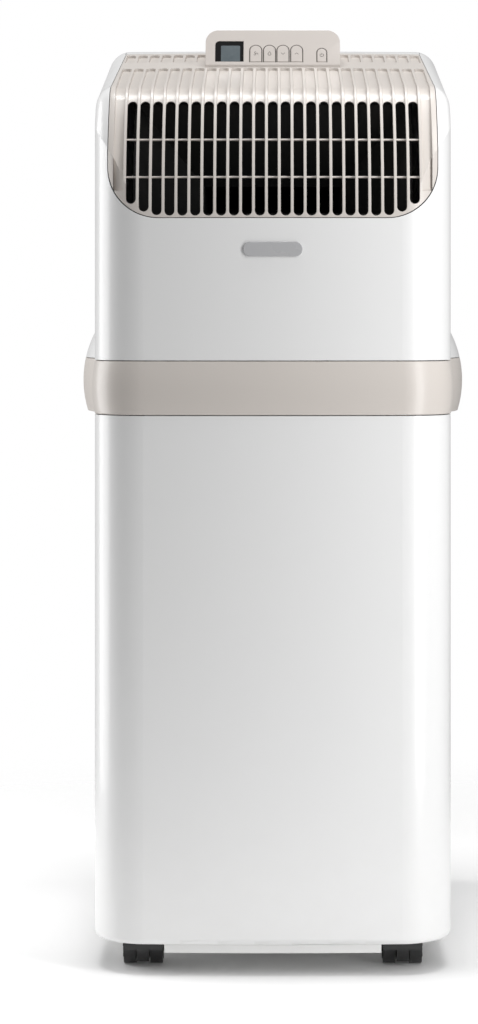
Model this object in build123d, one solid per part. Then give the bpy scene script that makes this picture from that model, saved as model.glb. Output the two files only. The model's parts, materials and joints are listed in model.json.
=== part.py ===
"""Portable air conditioner on four castors, as an assembly of separate pieces.

Millimetres, +Z up. The front faces -Y and +X is to the right of a person who faces the front.
The origin is on the floor, under the middle of the body.
"""
from build123d import *
import math
import os

os.makedirs("parts", exist_ok=True)

# ---------------------------------------------------------------- driving dimensions
# Body shell
HALF_WIDTH = 133.5
HALF_DEPTH = 172.5
BODY_BOTTOM = 22.0
WALL = 2.6
SEAM = 0.5
FRONT_CORNER_R = 40.0
REAR_CORNER_R = 30.0
BOTTOM_EDGE_R = 5.0
SHOULDER_R = 17.0
BOW_R = 1982.0
SKIN_STEP = 0.05
BODY_TOP_LIMIT = 730.0
# Corners of the body's side outline before rounding, as (y, z), and the rounding of each.
LEAN_FOOT = (-HALF_DEPTH - 0.25, 607.6)
FRONT_TOP_EDGE = (-133.6, 657.4)
ROOF_PEAK = (60.0, 703.5)
ROOF_REAR = (200.0, 693.7)
LEAN_FOOT_R, FRONT_TOP_R, ROOF_PEAK_R, REAR_TOP_R = 150.0, 30.0, 100.0, 30.0
# Vertical seams where the front and rear panels meet the side panels
FRONT_SEAM_Y = -117.5
REAR_SEAM_Y = 117.5

# Belt round the middle, and the carrying handles that it swells into
BELT_LOW, BELT_HIGH = 412.7, 452.5
BELT_CROWN = 2.0
BELT_WALL = 3.0
HANDLE_REACH = 150.8
HANDLE_MID_Z = 435.0
HANDLE_LOW_Z = 411.0
HANDLE_PROFILE_R = 82.0
HANDLE_PLAN_R = 171.0
HANDLE_WALL = 3.0
POCKET_INNER_X = 118.0
POCKET_HALF_LENGTH = 48.0
POCKET_TOP = 465.0
SCOOP_DEPTH = 14.0
SCOOP_LOW = 368.0

# Outlet grille
GRILLE_LOW = 558.4
GRILLE_HALF_WIDTH = 122.0
GRILLE_REAR_HALF_WIDTH = 119.0
GRILLE_REAR_Y = 42.5
GRILLE_CORNER_R = 38.0
GRILLE_WALL = 3.2
SLOT_PITCH = 9.52
SLOT_WIDTH = 7.4
SLOT_TOP = 646.0
SLOT_LOW = 559.7
SLOTS_EACH_SIDE = 11
SLOT_END_CLEAR = 3.6
GROOVES_EACH_SIDE = 12
GROOVE_DEPTH = 2.1
GROOVE_START_Z = 637.0
FRONT_GROOVE_END_Y = -37.0
REAR_GROOVE_Y = (-6.0, 35.0)
CROSS_BAR_Z = (588.4, 616.6)
CROSS_BAR_HEIGHT = 1.3
CROSS_BAR_DEPTH = 8.0

# Control pod on the roof; its face leans back by POD_LEAN degrees from the vertical
POD_HALF_WIDTH = 53.0
POD_FRONT_Y = -34.5
POD_LIP_Z = 683.0
POD_TOP = 711.5
POD_REAR_Y = 95.0
POD_REAR_TOP = 707.0
POD_LEAN = 27.0
POD_CORNER_R = 10.0
POD_WALL = 2.2
BUTTON_X = (-13.4, -2.6, 8.0, 18.8)
BUTTON_WIDTH = 8.9
BUTTON_HEIGHT = 15.0
POWER_BUTTON_X = 38.6
POWER_BUTTON_WIDTH = 7.2
POWER_BUTTON_HEIGHT = 12.2
BUTTON_FOOT = 2.7
BUTTON_GAP = 0.3
BUTTON_DEPTH = 4.0
BUTTON_TRAVEL = 0.8
WINDOW_X = (-45.4, -23.0)
WINDOW_V = (2.9, 22.0)
WINDOW_CORNER_R = 3.5

# Castors: twin wheels under a hood that swivels on a stem
CASTOR_X = 97.0
CASTOR_Y = 117.5
CASTOR_TRAIL = -10.5
WHEEL_R = 16.0
WHEEL_WIDTH = 9.2
CASTOR_WIDTH = 29.0
HOOD_R = 18.5
AXLE_R = 2.5
STEM_R = 5.0
WEB_HALF = 4.6
WEB_LOW = 4.0
STEM_TOP = 56.0
RUNNING_CLEARANCE = 0.05

# Base tray
TRAY_FLOOR = 39.0
TRAY_RIM = 58.0
SUMP_BOTTOM = 14.5
SKIRT_LOW = 16.4
SKIRT_HALF_WIDTH = 80.0

# Rear openings
WINDOW_HALF_WIDTH = 92.0
UPPER_WINDOW_Z = (470.0, 640.0)
LOWER_WINDOW_Z = (66.0, 236.0)
EXHAUST_Z = 322.0
EXHAUST_R = 62.0
COLLAR_LENGTH = 46.0

SIDES = {"left": -1, "right": 1}
ENDS = {"front": -1, "rear": 1}


# ---------------------------------------------------------------- helpers
def write(name, shape):
    """Write one piece as parts/name.step."""
    export_step(Compound(children=list(shape.solids())), f"parts/{name}.step")


def block(x, y, z):
    """Box between a low and a high value on each axis."""
    spans = (x, y, z)
    middle = [(low + high) / 2 for low, high in spans]
    return Pos(*middle) * Box(*[high - low for low, high in spans])


def rod(start, direction, radius, length):
    """Cylinder from start along direction."""
    return extrude(Plane(start, z_dir=direction) * Circle(radius), length)


def ring(start, direction, outer_r, inner_r, length):
    """Tube from start along direction."""
    return extrude(Plane(start, z_dir=direction) * (Circle(outer_r) - Circle(inner_r)), length)


def both_sides(shape):
    """A shape and its mirror image in the plane x = 0."""
    return shape + mirror(shape, Plane.YZ)


def inset_corners(corners, inset):
    """Corners of a clockwise outline whose edges all lie `inset` further in."""
    moved = []
    for index, (y, z) in enumerate(corners):
        before = Vector(*corners[index - 1])
        after = Vector(*corners[(index + 1) % len(corners)])
        here = Vector(y, z)
        into = (here - before).normalized().rotate(Axis.Z, -90)
        out_of = (after - here).normalized().rotate(Axis.Z, -90)
        shift = (into + out_of) * (inset / (1 + into.dot(out_of)))
        moved.append((y + shift.X, z + shift.Y))
    return moved


def side_face(corners, radii, inset):
    """Face in the plane x = 0 with the given corners, some of them rounded, moved in by inset."""
    moved = inset_corners(corners, inset)
    face = make_face(Polyline(*moved, close=True))
    for index, radius in radii.items():
        corner = face.vertices().sort_by_distance(Vector(*moved[index]))[0]
        face = fillet(corner, radius - inset)
    return Plane.YZ * face


# ---------------------------------------------------------------- body form
def plan(inset=0.0):
    """Outline of the body seen from above: bowed front, flat rear, rounded corners."""
    half = HALF_WIDTH - inset
    front, rear = inset - HALF_DEPTH, HALF_DEPTH - inset
    bow_r = BOW_R - inset
    corner_y = front + bow_r - math.sqrt(bow_r**2 - half**2)
    outline = [
        ThreePointArc((-half, corner_y), (0, front), (half, corner_y)),
        Polyline((half, corner_y), (half, rear), (-half, rear), (-half, corner_y)),
    ]
    face = make_face(outline)
    for corner, radius in ((0, FRONT_CORNER_R), (-1, REAR_CORNER_R)):
        face = fillet(face.vertices().group_by(Axis.Y)[corner], radius - inset)
    return face


def plan_column(inset, low, high):
    """Upright column with the body's plan."""
    return extrude(Pos(0, 0, low) * plan(inset), high - low)


def body_form(inset=0.0):
    """Whole outer form of the body moved in by inset, open towards the floor when inset is not zero."""
    low = BODY_BOTTOM - 50
    corners = [(LEAN_FOOT[0], low), LEAN_FOOT, FRONT_TOP_EDGE, ROOF_PEAK, ROOF_REAR, (ROOF_REAR[0], low)]
    front = side_face(corners, {1: LEAN_FOOT_R, 2: FRONT_TOP_R, 3: ROOF_PEAK_R}, inset)
    bow_axis = Axis((0, BOW_R - HALF_DEPTH, 0), (0, 0, 1))
    hull = revolve(front.rotate(bow_axis, -5), bow_axis, 10)
    half = HALF_WIDTH - inset + SKIN_STEP
    hull &= block((-half, half), (-300, 190), (low + 10, BODY_TOP_LIMIT))
    shoulder = [
        edge for edge in hull.edges()
        if abs(abs(edge.center().X) - half) < 0.01
        and edge.center().Z > low + 11
        and edge.center().Y < 189
    ]
    hull = fillet(shoulder, SHOULDER_R - inset)
    slope = (ROOF_REAR[1] - ROOF_PEAK[1]) / (ROOF_REAR[0] - ROOF_PEAK[0])
    rear_y = HALF_DEPTH + SKIN_STEP
    rear_top = ROOF_PEAK[1] + slope * (HALF_DEPTH - ROOF_PEAK[0]) + 1
    front_top = rear_top - slope * (HALF_DEPTH + 300)
    rear_corners = [(-300, low), (-300, front_top), (rear_y, rear_top), (rear_y, low)]
    rear = extrude(side_face(rear_corners, {2: REAR_TOP_R}, inset), HALF_WIDTH + 10, both=True)
    column = plan_column(inset, BODY_BOTTOM if inset == 0 else low + 12, BODY_TOP_LIMIT)
    if inset == 0:
        column = fillet(column.faces().sort_by(Axis.Z)[0].edges(), BOTTOM_EDGE_R)
    return rear & column & hull


def grille_cutter(gap):
    """Column that holds everything seen through the grille's outline, widened by gap."""
    half = GRILLE_HALF_WIDTH + gap
    low = GRILLE_LOW - gap
    face = make_face(Polyline((-half, low), (-half, 740), (half, 740), (half, low), close=True))
    face = fillet(face.vertices().group_by(Axis.Y)[0], GRILLE_CORNER_R)
    front = extrude(Plane.XZ.offset(300) * face, -(300 + GRILLE_REAR_Y + gap))
    rear_half = GRILLE_REAR_HALF_WIDTH + gap
    top = make_face(Polyline(
        (-half, -300), (half, -300), (half, FRONT_TOP_EDGE[0]), (rear_half, GRILLE_REAR_Y + gap),
        (-rear_half, GRILLE_REAR_Y + gap), (-half, FRONT_TOP_EDGE[0]), close=True,
    ))
    return front & extrude(top, 800)


def belt_form(inset):
    """Crowned band round the body, flush with it at both edges."""
    middle = (BELT_LOW + BELT_HIGH) / 2
    sections = [
        Pos(0, 0, BELT_LOW) * plan(inset),
        Pos(0, 0, middle) * plan(inset - BELT_CROWN),
        Pos(0, 0, BELT_HIGH) * plan(inset),
    ]
    return loft(sections)


def handle_form(side, inset):
    """Swelling on one flank that carries a handle: an arc from above, turned about an upright axis."""
    reach = HANDLE_REACH - inset
    radius = HANDLE_PROFILE_R - inset
    centre_x = reach - radius
    axis_x = HANDLE_REACH - HANDLE_PLAN_R
    top_angle = math.radians(48)
    low_drop = HANDLE_MID_Z - HANDLE_LOW_Z
    top = (centre_x + radius * math.cos(top_angle), HANDLE_MID_Z + radius * math.sin(top_angle))
    low = (centre_x + math.sqrt(radius**2 - low_drop**2), HANDLE_LOW_Z)
    face = make_face([
        ThreePointArc(top, (reach, HANDLE_MID_Z), low),
        Polyline(low, (axis_x, HANDLE_LOW_Z), (axis_x, top[1]), top),
    ])
    axis = Axis((axis_x, 0, 0), (0, 0, 1))
    form = revolve((Plane.XZ * face).rotate(axis, -32), axis, 64)
    return form if side > 0 else mirror(form, Plane.YZ)


def finger_scoop(side, wall):
    """Wedge that lets fingers in below a grip: deepest at the belt, running out further down."""
    slant = wall * 1.1
    wedge = Plane.XZ * make_face(Polyline(
        (HALF_WIDTH, SCOOP_LOW - 2 * slant), (HALF_WIDTH - SCOOP_DEPTH - wall, BELT_LOW - 8),
        (HALF_WIDTH - SCOOP_DEPTH - wall, BELT_LOW + 1), (HALF_WIDTH, BELT_LOW + 1), close=True,
    ))
    wedge = extrude(wedge, POCKET_HALF_LENGTH - 4 + wall, both=True)
    return wedge if side > 0 else mirror(wedge, Plane.YZ)


# ---------------------------------------------------------------- shells
outer = body_form()
inner = body_form(WALL)
shell = outer - inner
grille_gap = grille_cutter(SEAM)
belt_gap = block((-200, 200), (-200, 200), (BELT_LOW - SEAM, BELT_HIGH + SEAM))
shell -= belt_gap
shell -= grille_gap & block((-200, 200), (-200, GRILLE_REAR_Y + SEAM), (500, 740))

half_seam = SEAM / 2
WIDE, TALL = (-220, 220), (0, 740)
front_zone = (-220, FRONT_SEAM_Y - half_seam)
side_zone = (FRONT_SEAM_Y + half_seam, REAR_SEAM_Y - half_seam)
rear_zone = (REAR_SEAM_Y + half_seam, 220)
below_belt, above_belt = (0, BELT_LOW), (BELT_HIGH, 740)
ROOF_HALF_WIDTH = GRILLE_REAR_HALF_WIDTH + SEAM
top_zone = block((-ROOF_HALF_WIDTH, ROOF_HALF_WIDTH), (GRILLE_REAR_Y + SEAM, side_zone[1]), (660, 740))
top_gap = block((-ROOF_HALF_WIDTH - SEAM, ROOF_HALF_WIDTH + SEAM), (GRILLE_REAR_Y, rear_zone[0]), (660, 740))

write("front_panel_lower", shell & block(WIDE, front_zone, below_belt))
write("front_panel_upper", shell & block(WIDE, front_zone, above_belt))
write("top_cover", shell & top_zone)

handles = {name: handle_form(side, 0) for name, side in SIDES.items()}
side_sections = shell - top_gap
for name, side in SIDES.items():
    flank = (0, side * 220) if side > 0 else (-220, 0)
    lower_panel = side_sections & block(flank, side_zone, below_belt)
    scoop = finger_scoop(side, WALL)
    lower_panel = (lower_panel - scoop) + (scoop - finger_scoop(side, 0))
    write(f"{name}_side_panel_lower", lower_panel & block(flank, side_zone, (0, BELT_LOW - SEAM)))
    panel = side_sections & block(flank, side_zone, above_belt)
    outside = block(sorted((side * (HALF_WIDTH - WALL), side * 170)), side_zone, (BELT_HIGH + SEAM, 500))
    swelling = (handles[name] - handle_form(side, WALL)) & outside
    pocket_length = (-POCKET_HALF_LENGTH - 3, POCKET_HALF_LENGTH + 3)
    pocket = handle_form(side, WALL) & block(
        sorted((side * POCKET_INNER_X, side * 170)), pocket_length, (400, POCKET_TOP + 3)
    )
    write(f"{name}_side_panel_upper", (panel - pocket) + (swelling - inner))

# Belt, split at the same seams; its flank pieces carry the handle grips and finger pockets
belt = belt_form(0) - plan_column(BELT_WALL, BELT_LOW - 5, BELT_HIGH + 5)
write("front_belt", belt & block(WIDE, front_zone, TALL))
write("rear_belt", belt & block(WIDE, rear_zone, TALL))
for name, side in SIDES.items():
    flank = (0, 220) if side > 0 else (-220, 0)
    band = belt & block(flank, side_zone, TALL)
    outside = block(
        sorted((side * (HALF_WIDTH - BELT_WALL), side * 170)), side_zone, (HANDLE_LOW_Z, BELT_HIGH)
    )
    below = block(sorted((0, side * HALF_WIDTH)), side_zone, (400, BELT_LOW))
    grip = (handles[name] - handle_form(side, HANDLE_WALL)) & outside
    length = (-POCKET_HALF_LENGTH, POCKET_HALF_LENGTH)
    hollow = handle_form(side, HANDLE_WALL) & block(
        sorted((side * POCKET_INNER_X, side * 170)), length, (HANDLE_LOW_Z, POCKET_TOP)
    )
    liner = (handle_form(side, WALL + 0.1) & block(
        sorted((side * (POCKET_INNER_X - 2), side * 170)),
        (length[0] - 2, length[1] + 2), (BELT_LOW, POCKET_TOP + 2),
    ))
    ends = handle_form(side, HANDLE_WALL) & block(
        sorted((side * (HALF_WIDTH - BELT_WALL), side * 170)), side_zone, (HANDLE_LOW_Z, HANDLE_LOW_Z + 3)
    )
    write(f"{name}_handle", (band + grip + liner + ends) - hollow - below)

# Outlet grille: one moulding with through-slots on the leaning front and closed grooves on the roof
grille_face = grille_cutter(0)
grille = (outer - body_form(GRILLE_WALL)) & grille_face
slots, grooves = [], []
for index in range(-GROOVES_EACH_SIDE, GROOVES_EACH_SIDE + 1):
    x = index * SLOT_PITCH
    width = (x - SLOT_WIDTH / 2, x + SLOT_WIDTH / 2)
    for low_y, high_y in ((-200, FRONT_GROOVE_END_Y), REAR_GROOVE_Y):
        seen_from_above = SlotOverall(high_y - low_y, SLOT_WIDTH, rotation=90)
        groove = extrude(Pos(x, (low_y + high_y) / 2, GROOVE_START_Z) * seen_from_above, 100)
        grooves.append(groove)
    if abs(index) > SLOTS_EACH_SIDE:
        grooves.append(block(width, (-200, -100), (GRILLE_LOW + 20, GROOVE_START_Z + 5)))
        continue
    # The slots' feet rise towards the grille's rounded lower corners.
    past = max(0.0, abs(x) - (GRILLE_HALF_WIDTH - GRILLE_CORNER_R - SLOT_END_CLEAR))
    low = SLOT_LOW + GRILLE_CORNER_R - math.sqrt(GRILLE_CORNER_R**2 - past**2)
    height = SLOT_TOP - low
    outline = Pos(x, low + height / 2) * SlotOverall(height, SLOT_WIDTH, rotation=90)
    slots.append(extrude(Plane.XZ.offset(100) * outline, 120))
grille -= slots
grille -= (outer - body_form(GROOVE_DEPTH)) & Compound(children=grooves)
bar_layer = body_form(GRILLE_WALL) - body_form(GRILLE_WALL + CROSS_BAR_DEPTH)
bar_reach = GRILLE_HALF_WIDTH - 8
for z in CROSS_BAR_Z:
    bar = block((-bar_reach, bar_reach), (-200, -100), (z - CROSS_BAR_HEIGHT / 2, z + CROSS_BAR_HEIGHT / 2))
    grille += bar_layer & bar
write("outlet_grille", grille)

# Blank badge plate on the upper front panel
badge = extrude(Plane.XZ.offset(HALF_DEPTH + 1.2) * Pos(0, 535) * RectangleRounded(44, 11, 5.4), -2.5)
write("badge_plate", badge - outer)

# ---------------------------------------------------------------- control pod
lean = math.radians(POD_LEAN)
face_plane = Plane(
    origin=(0, POD_FRONT_Y, POD_LIP_Z), x_dir=(1, 0, 0), z_dir=(0, -math.cos(lean), math.sin(lean))
)
ridge_y = POD_FRONT_Y + (POD_TOP - POD_LIP_Z) * math.tan(lean)


def pod_form(inset):
    """Pod moved in by inset: leaning face, gently falling top, rounded upper corners."""
    corners = [
        (POD_FRONT_Y, 640), (POD_FRONT_Y, POD_LIP_Z), (ridge_y, POD_TOP),
        (POD_REAR_Y, POD_REAR_TOP), (POD_REAR_Y, 640),
    ]
    wedge = extrude(side_face(corners, {3: 6.0}, inset), POD_HALF_WIDTH - inset, both=True)
    half = POD_HALF_WIDTH - inset
    top = POD_TOP - inset
    front = make_face(Polyline((-half, 600), (-half, top), (half, top), (half, 600), close=True))
    front = fillet(front.vertices().group_by(Axis.Y)[-1], POD_CORNER_R - inset)
    return wedge & extrude(Plane.XZ.offset(120) * front, -300)


def arch(width, height):
    """Upright outline with a flat foot and a half-round top, its foot at the origin."""
    radius = width / 2
    return make_face([
        Polyline((-radius, height - radius), (-radius, 0), (radius, 0), (radius, height - radius)),
        ThreePointArc((radius, height - radius), (0, height), (-radius, height - radius)),
    ])


def on_face(sketch, depth, start=0.0):
    """Extrude a sketch of the pod's face inwards, from start below the face."""
    return extrude(face_plane.offset(-start) * sketch, -depth)


pod = pod_form(0) - pod_form(POD_WALL) - outer
window_width = WINDOW_X[1] - WINDOW_X[0]
window_height = WINDOW_V[1] - WINDOW_V[0]
window = Pos(sum(WINDOW_X) / 2, sum(WINDOW_V) / 2) * Rectangle(window_width, window_height)
top_left = window.vertices().group_by(Axis.Y)[-1].sort_by(Axis.X)[0]
window = fillet(top_left, WINDOW_CORNER_R)
pod -= on_face(window, 10, -5)

button_sizes = {
    "fan_button": (BUTTON_X[0], BUTTON_WIDTH, BUTTON_HEIGHT),
    "mode_button": (BUTTON_X[1], BUTTON_WIDTH, BUTTON_HEIGHT),
    "down_button": (BUTTON_X[2], BUTTON_WIDTH, BUTTON_HEIGHT),
    "up_button": (BUTTON_X[3], BUTTON_WIDTH, BUTTON_HEIGHT),
    "power_button": (POWER_BUTTON_X, POWER_BUTTON_WIDTH, POWER_BUTTON_HEIGHT),
}
for name, (x, width, height) in button_sizes.items():
    hole = Pos(x, BUTTON_FOOT - BUTTON_GAP) * arch(width + 2 * BUTTON_GAP, height + 2 * BUTTON_GAP)
    pod -= on_face(hole, 10, -5)
    write(name, on_face(Pos(x, BUTTON_FOOT) * arch(width, height), BUTTON_DEPTH, -0.3))
write("control_pod", pod)
write("display_lens", on_face(window, 1.4, 0.4))
module = Pos(sum(WINDOW_X) / 2, sum(WINDOW_V) / 2) * Rectangle(window_width - 4, window_height - 2)
write("display_module", on_face(module, 4.6, 1.9))
board_sketch = Pos(0, 12.5) * Rectangle(2 * POD_HALF_WIDTH - 12, 19)
board = on_face(board_sketch, 1.6, 6.6)
switch_depth = 6.6 - (BUTTON_DEPTH - 0.3) - BUTTON_TRAVEL - 0.2
for x, width, height in button_sizes.values():
    board += on_face(Pos(x, BUTTON_FOOT + height / 2) * Rectangle(5, 5), switch_depth, 6.6 - switch_depth)
write("control_board", (board - outer) & pod_form(POD_WALL + 0.2))

# ---------------------------------------------------------------- rear panels and what they hold
rear_y = HALF_DEPTH
upper_window = block((-WINDOW_HALF_WIDTH, WINDOW_HALF_WIDTH), (150, 190), UPPER_WINDOW_Z)
lower_window = block((-WINDOW_HALF_WIDTH, WINDOW_HALF_WIDTH), (150, 190), LOWER_WINDOW_Z)
exhaust_hole = rod((0, 150, EXHAUST_Z), (0, 1, 0), EXHAUST_R + 4.5, 40)
DRAIN_X, DRAIN_Z, DRAIN_R = -70.0, 48.0, 7.0
GLAND_X, GLAND_Z, GLAND_R, CORD_R = 78.0, 50.0, 8.0, 3.7
SCREW_SPOTS = [(x, z) for z in (255, 392, 465, 650) for x in (-112, 112)] + [(-112, 44), (112, 44)]
screw_holes = [rod((x, 160, z), (0, 1, 0), 1.9, 30) for x, z in SCREW_SPOTS]
rear_shell = shell & block(WIDE, rear_zone, TALL)
rear_lower = (rear_shell & block(WIDE, rear_zone, below_belt)) - lower_window - exhaust_hole - screw_holes
rear_lower -= rod((DRAIN_X, 150, DRAIN_Z), (0, 1, 0), DRAIN_R + 2.5, 40)
rear_lower -= rod((GLAND_X, 150, GLAND_Z), (0, 1, 0), GLAND_R + 0.2, 40)
write("rear_panel_lower", rear_lower)
write("rear_panel_upper", (rear_shell & block(WIDE, rear_zone, above_belt)) - upper_window - screw_holes)
screws = [
    rod((x, rear_y + 0.05, z), (0, 1, 0), 3.4, 1.6) + rod((x, rear_y - 8, z), (0, 1, 0), 1.75, 9)
    for x, z in SCREW_SPOTS
]
write("rear_screws", Compound(children=screws))


def slatted_frame(z_span, gap, slat_count):
    """Intake grille: a frame that fills a rear window, with level slats across it."""
    half = WINDOW_HALF_WIDTH - gap
    low, high = z_span[0] + gap, z_span[1] - gap
    depth = (rear_y - 6.0, rear_y)
    frame = block((-half, half), depth, (low, high))
    frame -= block((-half + 6, half - 6), (150, 190), (low + 6, high - 6))
    pitch = (high - low - 12) / (slat_count + 1)
    for index in range(slat_count):
        z = low + 6 + pitch * (index + 1)
        frame += block((-half + 5, half - 5), (rear_y - 5.5, rear_y - 0.5), (z - 1.1, z + 1.1))
    frame += both_sides(block((29, 31), (rear_y - 5.5, rear_y - 0.8), (low + 5, high - 5)))
    return frame


write("lower_intake_grille", slatted_frame(LOWER_WINDOW_Z, 0.0, 18))
FILTER_GAP = 0.4
write("upper_intake_grille", slatted_frame(UPPER_WINDOW_Z, FILTER_GAP, 18))
filter_half = WINDOW_HALF_WIDTH - 2.5
filter_span = (UPPER_WINDOW_Z[0] + 2.5, UPPER_WINDOW_Z[1] - 2.5)
filter_depth = (rear_y - 9.5, rear_y - 6.0)
frame_hole = block((-filter_half + 5, filter_half - 5), (150, 190), (filter_span[0] + 5, filter_span[1] - 5))
cross = block((-1.5, 1.5), filter_depth, (filter_span[0] + 4, filter_span[1] - 4))
cross += block((-filter_half + 4, filter_half - 4), filter_depth, (553.5, 556.5))
write("filter_frame", (block((-filter_half, filter_half), filter_depth, filter_span) - frame_hole) + cross)
mesh_depth = (rear_y - 10.5, rear_y - 9.5)
write("filter_mesh", block((-filter_half, filter_half), mesh_depth, filter_span))

collar = ring((0, rear_y - COLLAR_LENGTH, EXHAUST_Z), (0, 1, 0), EXHAUST_R + 4, EXHAUST_R, COLLAR_LENGTH)
collar += ring((0, rear_y - WALL - 3.5, EXHAUST_Z), (0, 1, 0), EXHAUST_R + 10, EXHAUST_R, 3)
write("exhaust_collar", collar)

gland = ring((GLAND_X, rear_y - 12, GLAND_Z), (0, 1, 0), GLAND_R, CORD_R, 14)
gland += ring((GLAND_X, rear_y, GLAND_Z), (0, 1, 0), GLAND_R + 2.5, CORD_R, 2)
write("cable_gland", gland)

DRAIN_END = rear_y - 1.5
drain_cap = rod((DRAIN_X, DRAIN_END, DRAIN_Z), (0, 1, 0), DRAIN_R + 1.5, 3)
drain_cap += rod((DRAIN_X, DRAIN_END - 9.5, DRAIN_Z), (0, 1, 0), DRAIN_R - 2.05, 9.5)
write("drain_cap", drain_cap)

# ---------------------------------------------------------------- base tray
castor_spots = [(x * CASTOR_X, y * CASTOR_Y) for x in SIDES.values() for y in ENDS.values()]
tray = plan_column(WALL + 0.3, BODY_BOTTOM + 3, TRAY_RIM) - plan_column(WALL + 3.3, TRAY_FLOOR, TRAY_RIM + 1)
tray -= plan_column(WALL + 3.3, 0, TRAY_FLOOR - 3)
# Skirt that shows below the casing's front between the castors
skirt = plan_column(WALL + 0.3, SKIRT_LOW, BODY_BOTTOM + 4) - plan_column(WALL + 3.3, 0, BODY_BOTTOM + 5)
tray += skirt & block((-SKIRT_HALF_WIDTH, SKIRT_HALF_WIDTH), (-220, -100), (0, TRAY_FLOOR))
sump_floor = SUMP_BOTTOM + 3
tray += block((-60, 60), (-140, 140), (SUMP_BOTTOM, TRAY_FLOOR))
tray += block((-112, 112), (-80, 80), (SUMP_BOTTOM, TRAY_FLOOR))
tray -= block((-57, 57), (-137, 137), (sump_floor, 45)) + block((-109, 109), (-77, 77), (sump_floor, 45))
for x, y in castor_spots:
    tray += rod((x, y, TRAY_FLOOR - 1), (0, 0, 1), 10, STEM_TOP + 3 - TRAY_FLOOR)
    tray -= rod((x, y, 30), (0, 0, 1), STEM_R, STEM_TOP - 29)
# Round shelf that carries the compressor over the sump
COMPRESSOR_AT = (-48.0, -72.0)
tray += rod((*COMPRESSOR_AT, TRAY_FLOOR), (0, 0, 1), 55, 3)
tray += block((-50, -47), (-137, 77), (SUMP_BOTTOM, TRAY_FLOOR))
tray += ring((DRAIN_X, rear_y - 14, DRAIN_Z), (0, 1, 0), DRAIN_R, DRAIN_R - 2, 12.5)
tray -= rod((DRAIN_X, rear_y - 15, DRAIN_Z), (0, 1, 0), DRAIN_R - 2, 16)
tray -= rod((GLAND_X, 150, GLAND_Z), (0, 1, 0), GLAND_R + 0.2, 40)
write("base_tray", tray - screw_holes)

# ---------------------------------------------------------------- castors
for end_name, end in ENDS.items():
    for side_name, side in SIDES.items():
        x, y = side * CASTOR_X, end * CASTOR_Y
        axle_y = y + CASTOR_TRAIL
        half = CASTOR_WIDTH / 2
        centre = (x - half, axle_y, WHEEL_R)
        reach = (axle_y - 30, axle_y + 30)
        hood = rod(centre, (1, 0, 0), HOOD_R, CASTOR_WIDTH)
        hood &= block((x - half, x + half), reach, (WHEEL_R - 3, 40))
        hood -= rod((x - half - 1, axle_y, WHEEL_R), (1, 0, 0), WHEEL_R + 0.8, CASTOR_WIDTH + 2)
        web = rod((x - WEB_HALF, axle_y, WHEEL_R), (1, 0, 0), HOOD_R, 2 * WEB_HALF)
        hood += web & block((x - half, x + half), reach, (WEB_LOW, 40))
        hood += rod((x, y, WHEEL_R + 10), (0, 0, 1), STEM_R - RUNNING_CLEARANCE, STEM_TOP - WHEEL_R - 12)
        hood -= rod((x - 10, axle_y, WHEEL_R), (1, 0, 0), AXLE_R + RUNNING_CLEARANCE, 20)
        write(f"{end_name}_{side_name}_castor_hood", hood)
        wheels = rod((x - half + 0.5, axle_y, WHEEL_R), (1, 0, 0), AXLE_R, CASTOR_WIDTH - 1)
        tyre = rod((x + half - WHEEL_WIDTH, axle_y, WHEEL_R), (1, 0, 0), WHEEL_R, WHEEL_WIDTH)
        wheels += tyre + mirror(tyre, Plane.YZ.offset(x))
        write(f"{end_name}_{side_name}_castor_wheels", wheels)

# ---------------------------------------------------------------- cold side, above the shelf
SHELF_Z = (397.0, 400.0)
COIL_Y = (128.0, 156.0)
COIL_HALF = 102.0
SUCTION_X, CAPILLARY_X, DISCHARGE_X = 100.0, -85.0, -95.0
SUCTION_Y, TUBE_Y = -100.0, 142.0
shelf = plan_column(WALL + 0.4, *SHELF_Z)
shelf -= rod((SUCTION_X, SUCTION_Y, 390), (0, 0, 1), 6, 20)
shelf -= rod((CAPILLARY_X, TUBE_Y, 390), (0, 0, 1), 4, 20)
shelf -= [rod((x, 120, 390), (0, 0, 1), 5, 20) for x in (-40, 40)]
scoop_room = POCKET_HALF_LENGTH + 2
shelf -= both_sides(block((POCKET_INNER_X - 2, HALF_WIDTH), (-scoop_room, scoop_room), (390, 410)))
write("partition_shelf", shelf)


def coil(z_span):
    """Finned heat exchanger: fin block, two end plates and the U-bends of its tubes."""
    low, high = z_span
    fins = block((-COIL_HALF + 8, COIL_HALF - 8), COIL_Y, z_span)
    plate_x = COIL_HALF - 6.5
    plates = block((COIL_HALF - 8, plate_x), (COIL_Y[0], COIL_Y[1] + 1), z_span)
    bends = 8
    pitch = (high - low) / bends
    for index in range(bends):
        z = low + pitch * (index + 0.5)
        middle = (plate_x, sum(COIL_Y) / 2, z)
        bend = revolve(
            Plane(middle, x_dir=(0, 1, 0), z_dir=(1, 0, 0)) * Pos(6, 0) * Circle(3.5),
            Axis(middle, (0, 0, 1)), 180,
        )
        plates += bend if bend.center().X > plate_x else mirror(bend, Plane.YZ.offset(plate_x))
    return fins + both_sides(plates)


write("evaporator_coil", coil((400.0, 640.0)))


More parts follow.
